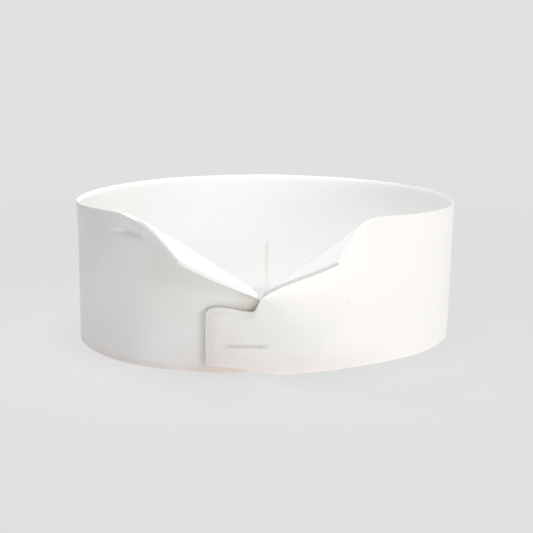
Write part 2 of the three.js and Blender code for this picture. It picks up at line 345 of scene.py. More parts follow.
def from_front(turn):
    """The turn from the middle of the front, below zero on the -X side."""
    return (turn + 180) % 360 - 180


def smaller_of(a, b, blend):
    """The smaller of two values, with a soft passage from one to the other."""
    return (a + b - math.hypot(a - b, blend)) / 2


def table_value(rows, at):
    if at <= rows[0][0]:
        return rows[0][1]
    for (a, low), (b, high) in zip(rows, rows[1:]):
        if at <= b:
            return lerp(low, high, (at - a) / (b - a))
    return rows[-1][1]


class Collar:
    """The shape of the cloth as functions of the turn, in millimetres."""

    def __init__(self, sizes):
        self.cloth = sizes.cloth / MM
        self.lap_gap = sizes.lap_gap / MM
        self.band_height = sizes.band_height / MM
        self.bend_radius = sizes.bend_radius / MM
        self.waviness = sizes.waviness / MM

    def ring_value(self, turn, name):
        """A value of the ring table at any turn, on a smooth closed curve through the given ones."""
        values = RING[name]
        place = (turn % 360) / (360 / len(values))
        before = int(place)
        s = place - before
        a, b, c, d = (values[(before + k) % len(values)] for k in (-1, 0, 1, 2))
        return b + 0.5 * s * (c - a + s * (2 * a - 5 * b + 4 * c - d + s * (3 * (b - c) + d - a)))

    def rim_height(self, turn):
        return self.band_height + self.ring_value(turn, "rise")

    def lap_shift(self, turn):
        """How far the strip stands out of the ring where its ends lap: the outer end out, the inner in."""
        half = (self.cloth + self.lap_gap) / 2
        return half * (1 - smoothstep(turn, *OUTER_LAP_ENDS) - smoothstep(turn, *INNER_LAP_STARTS))

    def dents(self, turn, height):
        """How far the wall stands out at a place for its ridge, groove, flare and swell."""
        side = from_front(turn)
        rise = over_ridge(side, height)
        if rise < 0:
            hump = (RIDGE_PUSH + GROOVE_DEPTH) * math.exp(-((rise / RIDGE_BELOW) ** 2))
            raised = hump - GROOVE_DEPTH * math.exp(-((rise / GROOVE_HEIGHT) ** 2))
        else:
            raised = RIDGE_PUSH * math.exp(-((rise / RIDGE_ABOVE) ** 2))
        near = math.exp(-(((side - FLARE["turn"]) / FLARE["spread"]) ** 2))
        below = (self.rim_height(turn) - height) / FLARE["depth"]
        flared = FLARE["push"] * near * math.exp(-(below**2))
        beside = math.radians(side - SWELL["turn"]) * RING["radius"][0]
        above = height - SWELL["height"]
        slant = math.radians(SWELL["slant"])
        down = (beside * math.cos(slant) + above * math.sin(slant)) / SWELL["length"]
        across = (above * math.cos(slant) - beside * math.sin(slant)) / SWELL["width"]
        raised *= within(side, RIDGE)
        return raised + flared + SWELL["push"] * math.exp(-(down**2) - across**2)

    def ring_point(self, turn, height):
        lean = self.ring_value(turn, "lean") * height / self.band_height
        radius = self.ring_value(turn, "radius") + lean
        angle = math.radians(turn - 90)
        return Vector((radius * math.cos(angle), radius * math.sin(angle), height))

    def outward(self, turn):
        along = self.ring_point(turn + TURN_STEP, 0) - self.ring_point(turn - TURN_STEP, 0)
        return along.cross(Vector((0, 0, 1))).normalized()

    def waver(self, turn, height):
        """A slight unevenness of the pressed cloth."""
        spot = self.ring_point(turn, height)
        slow = noise.noise(spot / WAVER_SLOW)
        quick = noise.noise(spot / WAVER_QUICK + WAVER_APART)
        return self.waviness * (slow + WAVER_QUICK_SHARE * quick)

    def wall_point(self, turn, height, side):
        """A point out from the middle of the cloth by side: half the cloth is the outer face."""
        out = self.lap_shift(turn) + self.dents(turn, height) - self.cloth / 2 + side
        out += self.waver(turn, height)
        return self.ring_point(turn, height) + out * self.outward(turn)

    def crease_height(self, wing, turn):
        share = wing_share(wing, turn)
        straight = lerp(wing.low_height, wing.high_height, share)
        bowed = wing.bow * 4 * share * (1 - min(share, 1))
        return smaller_of(straight + bowed, self.rim_height(turn), CREASE_BLEND)

    def crease_point(self, wing, turn):
        return self.wall_point(turn, self.crease_height(wing, turn), 0)

    def wing_point(self, wing, turn, past, side):
        """A point on a wing: past is the way over the bend and out along the flap."""
        along = self.crease_point(wing, turn + TURN_STEP) - self.crease_point(wing, turn - TURN_STEP)
        along.normalize()
        out = self.outward(turn)
        out = (out - along * out.dot(along)).normalized()
        rise = out.cross(along)
        rise *= math.copysign(1, rise.z)
        angle = min(past / self.bend_radius, wing_bend(wing, wing_share(wing, turn)))
        flat = past - angle * self.bend_radius
        inside = self.bend_radius - side
        upward = inside * math.sin(angle) + flat * math.cos(angle)
        sideways = self.bend_radius - inside * math.cos(angle) + flat * math.sin(angle)
        return self.crease_point(wing, turn) + rise * upward + out * sideways

    def from_end(self, turn):
        """Distance along the strip to its lapped end, below zero past the end."""
        return math.radians(TAB_LENGTH - past_crease(turn)) * self.ring_value(turn, "radius")

    def band_edges(self, turn):
        """Foot and upper edge of the band at a turn."""
        wing = wing_at(turn)
        past = past_crease(turn)
        foot = table_value(TAB_FOOT, past)
        if past <= 0:
            return foot, self.crease_height(wing, turn)
        notch, notch_top = TAB_TOP[0]
        falling = lerp(self.crease_height(wing, wing.low_turn), notch_top, past / notch)
        top = falling if past < notch else table_value(TAB_TOP, past)
        from_end = max(0.0, self.from_end(turn))
        return foot + rounded(TAB_FOOT_CORNER, from_end), top - rounded(TAB_TOP_CORNER, from_end)


def over_ridge(side, height):
    """How far a height lies over the crest of the ridge."""
    return height - RIDGE["height"] + RIDGE["arch"] * (side - RIDGE["full"]) ** 2


def in_groove_shade(turn, height):
    """How near a place lies to the painted shade line in the groove under the ridge, from 0 to 1."""
    side = from_front(turn)
    off = (over_ridge(side, height) + GROOVE_SHADE["below"]) / GROOVE_SHADE["half"]
    return within(side, GROOVE_SHADE) * math.exp(-(off**2))


def rounded(corner, from_end):
    """How far a rounded corner falls short of a sharp one, at a distance from the strip's end."""
    return corner - math.sqrt(corner**2 - max(0.0, corner - from_end) ** 2)


def wing_share(wing, turn):
    return (turn - wing.low_turn) / (wing.high_turn - wing.low_turn)


def wing_at(turn):
    return OUTER_WING if turn < 180 else INNER_WING


def on_wing(turn):
    """Whether a wing grows out of the band at a turn."""
    return 0 < wing_share(wing_at(turn), turn) < 1


def top_row(turn):
    return ALL_ROWS - 1 if on_wing(turn) else BAND_ROWS - 1


def past_crease(turn):
    """How far a turn lies past the low end of its crease, towards the lapped end."""
    wing = wing_at(turn)
    return wing.low_turn - turn if wing is OUTER_WING else turn - wing.low_turn


def wing_width(wing, share):
    """How far the wing reaches out from its crease, at a share of the crease."""
    peak = WING_REACH + wing.blunt / 2
    front = peak * (max(share, 0.0) / WING_TIP_AT) ** WING_FRONT_CURVE
    rear = peak * (max(1 - share, 0.0) / (1 - WING_TIP_AT)) ** WING_REAR_CURVE
    return max(0.0, smaller_of(front, rear, wing.blunt))


def wing_bend(wing, share):
    """The angle that the wing is bent by, on a parabola through its three."""
    low, middle, high = wing.turned
    at_low = low * (1 - share) * (1 - 2 * share)
    at_middle = middle * 4 * share * (1 - share)
    at_high = high * share * (2 * share - 1)
    return math.radians(at_low + at_middle + at_high)


def spread(start, end, count):
    return [lerp(start, end, i / count) for i in range(count + 1)]


def strip_turns():
    """The turn of each column of the sheet, with one at each end of a buttonhole."""
    outer, inner = OUTER_WING, INNER_WING
    turns = [outer.low_turn - past for past in reversed(TAB_COLUMNS)]
    turns += [lerp(outer.low_turn, outer.high_turn, share) for share in wing_shares()[1:]]
    turns += spread(outer.high_turn, inner.high_turn, BAND_COLUMNS)[1:]
    turns += [lerp(inner.low_turn, inner.high_turn, share) for share in wing_shares()[-2::-1]]
    turns += [inner.low_turn + past for past in TAB_COLUMNS[1:]]
    turns += [BACK_SLIT["turn"] + hand * gap for hand in (-1, 1) for gap in BACK_SLIT_COLUMNS]
    turns.sort()
    for end in front_slit_ends() + [end + 360 for end in front_slit_ends()]:
        nearest = min(range(len(turns)), key=lambda i: abs(turns[i] - end))
        turns[nearest] = end
    return turns


def wing_shares():
    """The share of the crease at each column of a wing, from its low end to its high end."""
    before = spread(0.0, WING_TIP_AT - TIP_STEP, WING_COLUMNS)
    return before + [WING_TIP_AT] + spread(WING_TIP_AT + TIP_STEP, 1.0, WING_COLUMNS)


def front_slit_ends():
    half = math.degrees(FRONT_SLIT["length"] / 2 / RING["radius"][0])
    return [FRONT_SLIT["turn"] - half, FRONT_SLIT["turn"] + half]


def edge_spaced(low, high, steps, near_low):
    """Distances from low to high, at the steps and closer together towards the free edges."""
    room = min(1.0, (high - low) / NARROWEST)
    start = [low + gap * room for gap in EDGE_ROWS] if near_low else [low]
    end = [high - gap * room for gap in EDGE_ROWS]
    middle = [lerp(start[-1], end[-1], step) for step in steps]
    return start + middle + end[::-1]


def column_ways(collar, turn, slit_width):
    """The way of each row: a height on the band, and the way past the crease on a wing."""
    foot, top = collar.band_edges(turn)
    ways = edge_spaced(foot, top, BAND_STEPS, True)
    if on_wing(turn):
        ways[-1] = top
    ways = parted_rows(ways, turn, slit_width)
    if not on_wing(turn):
        return ways + [0.0] * (ALL_ROWS - BAND_ROWS)
    wing = wing_at(turn)
    share = wing_share(wing, turn)
    width = wing_width(wing, share)
    bend_end = min(collar.bend_radius * wing_bend(wing, share), width / 2)
    ways += [bend_end * i / BEND_ROWS for i in range(1, BEND_ROWS + 1)]
    return ways + edge_spaced(bend_end, width, FLAP_STEPS, False)[1:]


def parted_rows(ways, turn, slit_width):
    """Brings two rows to the sides of the front slit where it passes, and eases the others after them."""
    low, high = front_slit_ends()
    side = from_front(turn)
    close, far = FRONT_SLIT_EASE_TURNS
    near = smoothstep(side, low - far, low - close) * (1 - smoothstep(side, high + close, high + far))
    middle = (ways[FRONT_SLIT_ROW] + ways[FRONT_SLIT_ROW + 1]) / 2
    moved = []
    for row, way in enumerate(ways):
        reach = math.exp(-(((row - FRONT_SLIT_ROW - 0.5) / FRONT_SLIT_EASE_ROWS) ** 2))
        eased = way + (FRONT_SLIT["height"] - middle) * reach
        if row == FRONT_SLIT_ROW:
            eased = FRONT_SLIT["height"] - slit_width / 2
        if row == FRONT_SLIT_ROW + 1:
            eased = FRONT_SLIT["height"] + slit_width / 2
        moved.append(lerp(way, eased, near))
    return moved


def sheet_point(collar, turn, row, way, side):
    if row < BAND_ROWS:
        return collar.wall_point(turn, way, side)
    return collar.wing_point(wing_at(turn), turn, way, side)


def flat_lengths(collar, turns):
    """Distance of each column along the flat strip from the middle of the front, in millimetres."""
    places = [0.0]
    for before, after in zip(turns, turns[1:]):
        step = collar.ring_point(after, 0) - collar.ring_point(before, 0)
        places.append(places[-1] + step.length)
    front = min(range(len(turns)), key=lambda i: abs(turns[i]))
    return [place - places[front] for place in places]


def flat_point(collar, turns, lengths, column, row, way):
    """Where a point of the sheet lies on the flat cut, in millimetres."""
    if row < BAND_ROWS:
        return lengths[column], way
    wing = wing_at(turns[column])
    height = collar.crease_height(wing, turns[column])
    before, after = max(column - 1, 0), min(column + 1, len(turns) - 1)
    run = lengths[after] - lengths[before]
    rise = collar.crease_height(wing, turns[after]) - collar.crease_height(wing, turns[before])
    span = math.hypot(run, rise)
    return lengths[column] - way * rise / span, height + way * run / span


def face_share(collar, turn, row, way, inner):
    """How far a face stands from the cloth's middle at a row, as a share of half the cloth."""
    share = wing_share(wing_at(turn), turn)
    steps = min(row, abs(top_row(turn) - row))
    if steps >= len(EDGE_ROWS):
        across = 1.0
    elif row < len(EDGE_ROWS):
        across = FOOT_SHARE[steps]
    elif inner:
        across = lerp(CUT_SHARE[steps], RIM_SHARE[steps], smoothstep(share, *RIM_FROM))
    else:
        across = CUT_SHARE[steps]
    past = past_crease(turn)
    from_end = max(0.0, collar.from_end(turn))
    along = lerp(END_SHARE, 1.0, smoothstep(from_end, 0.0, EDGE_ROWS[1]))
    if past > 0 and turn < 180 and not inner:
        from_top = collar.band_edges(turn)[1] - way
        inward = smoothstep(min(from_end, from_top), 0.0, PRESSED_IN)
        across *= lerp(1.0, PRESSED_SHARE, smoothstep(past, *PRESSED_FROM) * (1 - inward))
    return min(across, along)


def new_object(name, bm, material):
    """Makes an object of a bmesh that is in metres."""
    mesh = bpy.data.meshes.new(name)
    bm.to_mesh(mesh)
    bm.free()
    mesh.materials.append(material)
    made = bpy.data.objects.new(name, mesh)
    bpy.context.scene.collection.objects.link(made)
    return made


def new_piece(name, bm, material):
    """Makes a smooth object on the body."""
    piece = new_object(name, bm, material)
    piece.data.polygons.foreach_set("use_smooth", [True] * len(piece.data.polygons))
    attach(piece, "root")
    return piece


def part_back_slit(collar, turns, slit_width):
    """Brings the two columns beside the middle of the back to the sides of the standing buttonhole."""
    half = math.degrees(slit_width / 2 / collar.ring_value(BACK_SLIT["turn"], "radius"))
    after = next(i for i, turn in enumerate(turns) if turn > BACK_SLIT["turn"])
    turns[after - 1] = BACK_SLIT["turn"] - half
    turns[after] = BACK_SLIT["turn"] + half


def cloth_mesh(collar, slit_width):
    """The whole strip as one closed shell, grown from a flat grid that is bent into the ring."""
    turns = strip_turns()
    part_back_slit(collar, turns, slit_width)
    ways = [column_ways(collar, turn, slit_width) for turn in turns]
    bm = flat_grid(len(turns))
    cut_out(bm, turns, ways)
    thicken(bm)
    bend_sheet(bm, collar, turns, ways)
    draw_flat_map(bm, collar, turns, ways)
    write_masks(bm, collar, turns, ways)
    sharpen_wing_edges(bm)
    bmesh.ops.remove_doubles(bm, verts=bm.verts, dist=JOINED_WITHIN * MM)
    bmesh.ops.recalc_face_normals(bm, faces=bm.faces)
    return bm


def flat_grid(columns):
    """A flat grid whose vertices know their column and row."""
    bm = bmesh.new()
    column_of, row_of, _ = (bm.verts.layers.int.new(name) for name in GRID_NUMBERS)
    bmesh.ops.create_grid(bm, x_segments=columns - 1, y_segments=ALL_ROWS - 1, size=1)
    for vert in bm.verts:
        vert[column_of] = round((vert.co.x + 1) / 2 * (columns - 1))
        vert[row_of] = round((vert.co.y + 1) / 2 * (ALL_ROWS - 1))
    return bm


def grid_numbers(bm):
    return [bm.verts.layers.int[name] for name in GRID_NUMBERS]


def cut_out(bm, turns, ways):
    """Deletes what isn't cloth: the wings' rows where there is no wing, and the two slits."""
    column_of, row_of, _ = grid_numbers(bm)
    low, high = front_slit_ends()

    def left_out(face):
        column = min(vert[column_of] for vert in face.verts)
        row = min(vert[row_of] for vert in face.verts)
        middle = (turns[column] + turns[column + 1]) / 2
        if row >= BAND_ROWS - 1:
            return not on_wing(middle)
        if low < from_front(middle) < high:
            return row == FRONT_SLIT_ROW
        height = (ways[column][row] + ways[column][row + 1]) / 2
        at_back = turns[column] < BACK_SLIT["turn"] < turns[column + 1]
        return at_back and abs(height - BACK_SLIT["height"]) < BACK_SLIT["length"] / 2

    bmesh.ops.delete(bm, geom=[face for face in bm.faces if left_out(face)], context="FACES")


def thicken(bm):
    """Gives the sheet a second face, with a row of vertices between the two along every edge."""
    layer_of = grid_numbers(bm)[2]
    faces = bm.faces[:]
    for layer in (1, 2):
        grown = bmesh.ops.extrude_face_region(bm, geom=faces)["geom"]
        faces = [item for item in grown if isinstance(item, bmesh.types.BMFace)]
        for item in grown:
            if isinstance(item, bmesh.types.BMVert):
                item[layer_of] = layer
    hidden = [face for face in bm.faces if all(vert[layer_of] == 1 for vert in face.verts)]
    bmesh.ops.delete(bm, geom=hidden, context="FACES")


def bend_sheet(bm, collar, turns, ways):
    """Bends the flat shell into the ring with its two wings."""
    column_of, row_of, layer_of = grid_numbers(bm)
    for vert in bm.verts:
        column, row, layer = vert[column_of], vert[row_of], vert[layer_of]
        turn, way = turns[column], ways[column][row]
        shares = [face_share(collar, turn, row, way, inner) for inner in (False, True)]
        out, back = (share * collar.cloth / 2 for share in shares)
        side = lerp(out, -back, layer / 2)
        if layer == 1:
            turn, way = grown_place(turns, ways, column, row)
        vert.co = (sheet_point(collar, turn, row, way, side) + RING_CENTRE) * MM


def draw_flat_map(bm, collar, turns, ways):
    """Writes where each corner lies on the flat cut, in metres."""
    lengths = flat_lengths(collar, turns)
    flat = bm.loops.layers.uv.new("Flat")
    column_of, row_of, _ = grid_numbers(bm)
    for face in bm.faces:
        for loop in face.loops:
            column, row = loop.vert[column_of], loop.vert[row_of]
            across, up = flat_point(collar, turns, lengths, column, row, ways[column][row])
            loop[flat].uv = (across * MM, up * MM)


def write_masks(bm, collar, turns, ways):
    """Writes what the linen reads: which face, how far the edge is, and where shade is painted in the
    groove and on the wing's cut edge.
    """
    inner, edge, groove, cut = (bm.verts.layers.float.new(name) for name in MASKS)
    column_of, row_of, layer_of = grid_numbers(bm)
    for vert in bm.verts:
        turn, row, layer = turns[vert[column_of]], vert[row_of], vert[layer_of]
        way = ways[vert[column_of]][row]
        vert[inner] = layer / 2
        vert[edge] = edge_distance(collar, turn, row, way)
        if row < BAND_ROWS and layer == 0:
            vert[groove] = in_groove_shade(turn, way)
        share = wing_share(OUTER_WING, turn)
        # The outer wing's front cut edge gets painted shade, darker towards the tip
        if row == ALL_ROWS - 1 and layer < 2 and 0 <= share < WING_TIP_AT:
            vert[cut] = lerp(*CUT_SHADE_TINT, (share / WING_TIP_AT) ** 2)


def sharpen_wing_edges(bm):
    _, row_of, layer_of = grid_numbers(bm)
    for border in bm.edges:
        if all(vert[row_of] == ALL_ROWS - 1 and vert[layer_of] != 1 for vert in border.verts):
            border.smooth = False


def edge_distance(collar, turn, row, way):
    """How far a point of the sheet lies from the nearest free edge."""
    wing = wing_at(turn)
    foot, top = collar.band_edges(turn)
    width = wing_width(wing, wing_share(wing, turn)) if on_wing(turn) else 0.0
    if row >= BAND_ROWS:
        return width - way
    return min(way - foot, top - way + width, collar.from_end(turn))


def grown_place(turns, ways, column, row):
    """The place of the rim's middle, one edge row further out than the faces' own last row."""
    turn, way = turns[column], ways[column][row]
    if row == 0:
        way -= EDGE_ROWS[0]
    if row == top_row(turn):
        way += EDGE_ROWS[0]
    if column == 0:
        turn -= TAB_LENGTH - TAB_COLUMNS[-1]
    if column == len(turns) - 1:
        turn += TAB_LENGTH - TAB_COLUMNS[-1]
    return turn, way


def flat_area(collar, turns, lengths):
    """Area of the flat cut, in square metres."""
    total = 0.0
    for i, run in enumerate(after - before for before, after in zip(lengths, lengths[1:])):
        middle = (turns[i] + turns[i + 1]) / 2
        foot, top = collar.band_edges(middle)
        total += (top - foot) * run
        if on_wing(middle):
            wing = wing_at(middle)
            around = math.radians(abs(wing.high_turn - wing.low_turn))
            around *= collar.ring_value(middle, "radius")
            slope = (wing.high_height - wing.low_height) / around
            total += wing_width(wing, wing_share(wing, middle)) * run * math.hypot(1, slope)
    return total * MM**2


class WINGCOLLAR_OT_cloth(bpy.types.Operator):
    """Make the collar: one strip of layered linen with its wings and buttonholes"""

    bl_idname = "wing_collar.cloth"
    bl_label = "Collar"

    def execute(self, context):
        sizes = context.scene.wing_collar_sizes
        collar = Collar(sizes)
        bm = cloth_mesh(collar, sizes.slit / MM)
        piece = new_piece("collar_cloth", bm, linen_material(collar, context.scene.wing_collar_finish))
        smooth = piece.modifiers.new("Smooth", "SUBSURF")
        smooth.levels = 1
        smooth.render_levels = 1
        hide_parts("collar")
        turns = strip_turns()
        lengths = flat_lengths(collar, turns)
        flat = ((lengths[-1] - lengths[0]) * MM, collar.rim_height(0) * MM)
        area = min(flat_area(collar, turns, lengths), flat[0] * flat[1])
        return {"FINISHED"}


class WINGCOLLAR_OT_stage(bpy.types.Operator):
    """Make the camera, the lights and the pale floor"""

    bl_idname = "wing_collar.stage"
    bl_label = "Studio"

    def execute(self, context):
        context.scene.view_settings.view_transform = "Standard"
        make_camera(context.scene)
        make_lights(context.scene)
        make_surroundings(context.scene)
        make_floor(context.scene.wing_collar_finish)
        return {"FINISHED"}


def make_camera(scene):
    data = bpy.data.cameras.new("Camera")
    data.lens = CAMERA_LENS
    data.sensor_width = CAMERA_SENSOR
    data.clip_start, data.clip_end = CAMERA_CLIP
    camera = bpy.data.objects.new("Camera", data)
    scene.collection.objects.link(camera)
    level = Vector((math.cos(CAMERA_YAW), math.sin(CAMERA_YAW), 0))
    ahead = Vector((-math.sin(CAMERA_YAW), math.cos(CAMERA_YAW), 0)) * math.cos(CAMERA_PITCH)
    ahead.z = -math.sin(CAMERA_PITCH)
    upright = level.cross(ahead)
    right = level * math.cos(CAMERA_ROLL) + upright * math.sin(CAMERA_ROLL)
    upward = upright * math.cos(CAMERA_ROLL) - level * math.sin(CAMERA_ROLL)
    axes = Matrix((right, upward, -ahead)).transposed()
    camera.matrix_world = Matrix.Translation(CAMERA_PLACE) @ axes.to_4x4()
    scene.camera = camera


def make_lights(scene):
    for name, turn, tilt, away, width, power in LIGHTS:
        data = bpy.data.lights.new(name, "AREA")
        data.shape = "DISK"
        data.size, data.energy = width, power
        light = bpy.data.objects.new(name, data)
        light.visible_camera = False
        scene.collection.objects.link(light)
        turn, tilt = math.radians(turn), math.radians(tilt)
        level = Vector((math.sin(turn), -math.cos(turn), 0)) * math.cos(tilt)
        towards = level + Vector((0, 0, math.sin(tilt)))
        light.location = LIGHTS_AIM + towards * away
        light.rotation_mode = "QUATERNION"
        light.rotation_quaternion = towards.to_track_quat("Z", "Y")


def make_surroundings(scene):
    """The surroundings look like the floor and give no light of their own."""
    world = bpy.data.worlds.new("Surroundings")
    world.use_nodes = True
    n = Nodes(world.node_tree)
    seen = n.add("ShaderNodeLightPath").outputs["Is Camera Ray"]
    background = world.node_tree.nodes["Background"]
    n.feed(background, Color=(*scene.wing_collar_finish.floor, 1), Strength=seen)
    scene.world = world


def make_floor(finish):
    """A wide floor that looks equally bright everywhere, as a lit sweep does, apart from faint shadows."""
    bm = bmesh.new()
    bmesh.ops.create_circle(bm, cap_ends=True, segments=FLOOR_SIDES, radius=FLOOR_RADIUS)
    material, shader, n = new_material("studio_floor")
    place = n.add("ShaderNodeTexCoord").outputs["Object"]
    near = n.step(n.vector("LENGTH", place, (0, 0, 0)), FLOOR_NEAR, FLOOR_FAR, 1.0, 0.0)
    lit = n.mix(near, grey(0), grey(FLOOR_LIT))
    seen = n.add("ShaderNodeLightPath").outputs["Is Camera Ray"]
    n.feed(
        shader,
        Base_Color=n.mix(near, grey(0), grey(FLOOR_SHADE)),
        Emission_Color=n.vector("SUBTRACT", tuple(finish.floor), lit),
        Emission_Strength=n.step(seen, 0.0, 1.0, FLOOR_GLOW, 1.0),
        Roughness=1.0,
        Specular_IOR_Level=0.0,
    )
    new_object("floor", bm, material)


class Nodes:
    """A node tree that is wired from left to right."""

    def __init__(self, tree):
        self.tree = tree
        self.placed = 0

    def add(self, kind, *values, settings=None, **inputs):
        """A new node. A value for its first inputs or a named one is a number, a vector or a socket."""
        node = self.tree.nodes.new(kind)
        node.location = (self.placed * NODE_APART, -(self.placed % NODE_ROWS) * NODE_DROP)
        self.placed += 1
        for name, value in (settings or {}).items():
            setattr(node, name, value)
        for socket, value in zip(node.inputs, values):
            self.wire(value, socket)
        self.feed(node, **inputs)
        return node

    def feed(self, node, **inputs):
        for name, value in inputs.items():
            socket = next(s for s in node.inputs if s.name.replace(" ", "_") == name and s.enabled)
            self.wire(value, socket)

    def wire(self, value, socket):
        if isinstance(value, bpy.types.NodeSocket):
            self.tree.links.new(value, socket)
        else:
            socket.default_value = value

    def math(self, operation, a, b=0.0):
        return self.add("ShaderNodeMath", a, b, settings={"operation": operation}).outputs[0]

    def vector(self, operation, a, b):
        node = self.add("ShaderNodeVectorMath", a, b, settings={"operation": operation})
        return node.outputs["Value" if operation == "LENGTH" else "Vector"]

    def step(self, value, low, high, low_out=0.0, high_out=1.0):
        smooth = {"interpolation_type": "SMOOTHSTEP"}
        values = (value, low, high, low_out, high_out)
        return self.add("ShaderNodeMapRange", *values, settings=smooth).outputs["Result"]

    def mix(self, share, a, b):
        node = self.add("ShaderNodeMix", share, settings={"data_type": "RGBA"}, A=a, B=b)
        return next(socket for socket in node.outputs if socket.type == "RGBA")

    def cloud(self, place, scale, detail):
        return self.add("ShaderNodeTexNoise", Vector=place, Scale=scale, Detail=detail).outputs

    def mask(self, name):
        """A mask that the shell carries."""
        return self.add("ShaderNodeAttribute", settings={"attribute_name": name}).outputs["Fac"]

    def group(self, tree, **inputs):
        return self.add("ShaderNodeGroup", settings={"node_tree": tree}, **inputs)


def new_group(name, inputs, outputs):
    """A node group whose inputs are vectors or numbers, as their defaults are, and its outputs numbers."""
    tree = bpy.data.node_groups.new(name, "ShaderNodeTree")
    for title, value in inputs.items():
        kind = "NodeSocketVector" if isinstance(value, tuple) else "NodeSocketFloat"
        tree.interface.new_socket(title, in_out="INPUT", socket_type=kind).default_value = value
    for title in outputs:
        tree.interface.new_socket(title, in_out="OUTPUT", socket_type="NodeSocketFloat")
    return tree, tree.nodes.new("NodeGroupInput"), tree.nodes.new("NodeGroupOutput")


def new_material(name):
    """A material with its shader and the means to wire it."""
    material = bpy.data.materials.new(name)
    material.use_nodes = True
    return material, material.node_tree.nodes["Principled BSDF"], Nodes(material.node_tree)


def grey(value):
    return (value, value, value, 1)


def stain_group():
    """A soft-edged oval patch on the flat cut, with a wandering outline."""
    tree, given, result = new_group(
        "Stain",
        {
            "Place": (0, 0, 0),
            "Centre": (0, 0, 0),
            "Reach": (0.01, 0.01, 1),
            "Softness": 0.5,
            "Wander": 0.2,
        },
        ["Mask"],
    )
    place, centre, reach, softness, wander, _ = given.outputs
    n = Nodes(tree)
    scaled = n.vector("DIVIDE", n.vector("SUBTRACT", place, centre), reach)
    far = n.vector("LENGTH", scaled, (0, 0, 0))
    shifted = n.math("SUBTRACT", n.cloud(place, STAIN_GRAIN, detail=3.0)["Fac"], 0.5)
    wandered = n.math("ADD", far, n.math("MULTIPLY", shifted, wander))
    inner = n.math("SUBTRACT", 1.0, softness)
    outer = n.math("ADD", 1.0, softness)
    n.feed(result, Mask=n.step(wandered, inner, outer, 1.0, 0.0))
    return tree


def weave_group():
    """Plain weave on the flat cut: the height of its threads, and the slubs that thicken some of them."""
    inputs = {"Place": (0, 0, 0), "Pitch": WEAVE_PITCH * MM}
    tree, given, result = new_group("Weave", inputs, ["Height", "Slubs"])
    flat, pitch, _ = given.outputs
    n = Nodes(tree)
    wobble = n.cloud(flat, WOBBLE_GRAIN, detail=1.0)["Color"]
    shift = n.vector("MULTIPLY", wobble, (THREAD_WOBBLE * MM, THREAD_WOBBLE * MM, 0))
    parts = n.add("ShaderNodeSeparateXYZ", Vector=n.vector("ADD", flat, shift))
    per_thread = n.math("DIVIDE", math.pi, pitch)
    across = n.math("SINE", n.math("MULTIPLY", parts.outputs["X"], per_thread))
    along = n.math("SINE", n.math("MULTIPLY", parts.outputs["Y"], per_thread))
    crossed = n.math("MULTIPLY", across, along)
    upright = n.vector("MULTIPLY", flat, (*reversed(SLUB_LENGTHS), 1))
    lying = n.vector("MULTIPLY", flat, (*SLUB_LENGTHS, 1))
    warp, weft = (n.cloud(stretched, 1.0, detail=2.0)["Fac"] for stretched in (upright, lying))
    warp_part = n.math("MULTIPLY", warp, WARP_SHARE)
    slubs = n.math("ADD", warp_part, n.math("MULTIPLY", weft, 1 - WARP_SHARE))
    raised = n.math("MULTIPLY", crossed, THREAD_HEIGHT)
    height = n.math("ADD", raised, n.math("MULTIPLY", slubs, SLUB_HEIGHT))
    n.feed(result, Height=height, Slubs=slubs)
    return tree


def linen_material(collar, finish):
    material, shader, n = new_material("starched_linen")
    place = n.add("ShaderNodeUVMap", settings={"uv_map": "Flat"}).outputs["UV"]
    inner, edge, groove, cut = (n.mask(name) for name in MASKS)
    outer_only = n.math("SUBTRACT", 1.0, n.step(inner, *INNER_FACE_FROM))
    stain = stain_group()
    turns = strip_turns()
    lengths = flat_lengths(collar, turns)

    def at(turn, height):
        column = min(range(len(turns)), key=lambda i: abs(turns[i] - turn))
        return (lengths[column] * MM, height * MM, 0)

    colour = (*finish.linen, 1)
    for rows, shown in ((STAINS, outer_only), (INNER_STAINS, inner)):
        for name, middle, reach, softness, raggedness, tint in rows:
            mask = n.group(
                stain,
                Place=place,
                Centre=at(*middle),
                Reach=(reach[0] * MM, reach[1] * MM, 1),
                Softness=softness,
                Wander=raggedness,
            ).outputs["Mask"]
            share = n.math("MULTIPLY", n.math("MULTIPLY", mask, shown), tint)
            colour = n.mix(share, colour, (*getattr(finish, name), 1))
    weave = n.group(weave_group(), Place=place, Pitch=WEAVE_PITCH * MM)
    shade = n.step(weave.outputs["Slubs"], *SLUB_RANGE, 0.0, SLUB_TINT)
    colour = n.mix(shade, colour, (*SLUB_SHADE, 1))
    # Painted shade in the groove under the ridge
    colour = n.mix(n.math("MULTIPLY", groove, GROOVE_SHADE_TINT), colour, (*finish.dust_and_shade, 1))
    # Painted shade on the outer wing's front cut edge
    colour = n.mix(cut, colour, (*finish.dust_and_shade, 1))
    off_line = n.math("ABSOLUTE", n.math("SUBTRACT", edge, EDGE_LINE_IN))
    line = n.step(off_line, 0.0, EDGE_LINE_HALF, 1.0, 0.0)
    colour = n.mix(n.math("MULTIPLY", line, EDGE_LINE_TINT), colour, (*finish.brown_and_shade, 1))
    relief = n.math("SUBTRACT", weave.outputs["Height"], line)
    bump = n.add("ShaderNodeBump", Strength=BUMP_STRENGTH, Distance=WEAVE_BUMP * MM, Height=relief)
    n.feed(
        shader,
        Base_Color=colour,
        Roughness=n.step(weave.outputs["Slubs"], *SLUB_RANGE, *LINEN_ROUGHNESS),
        Specular_IOR_Level=LINEN_SPECULAR,
        Sheen_Weight=LINEN_SHEEN,
        Sheen_Roughness=LINEN_SHEEN_ROUGHNESS,
        Normal=bump.outputs["Normal"],
    )
    return material


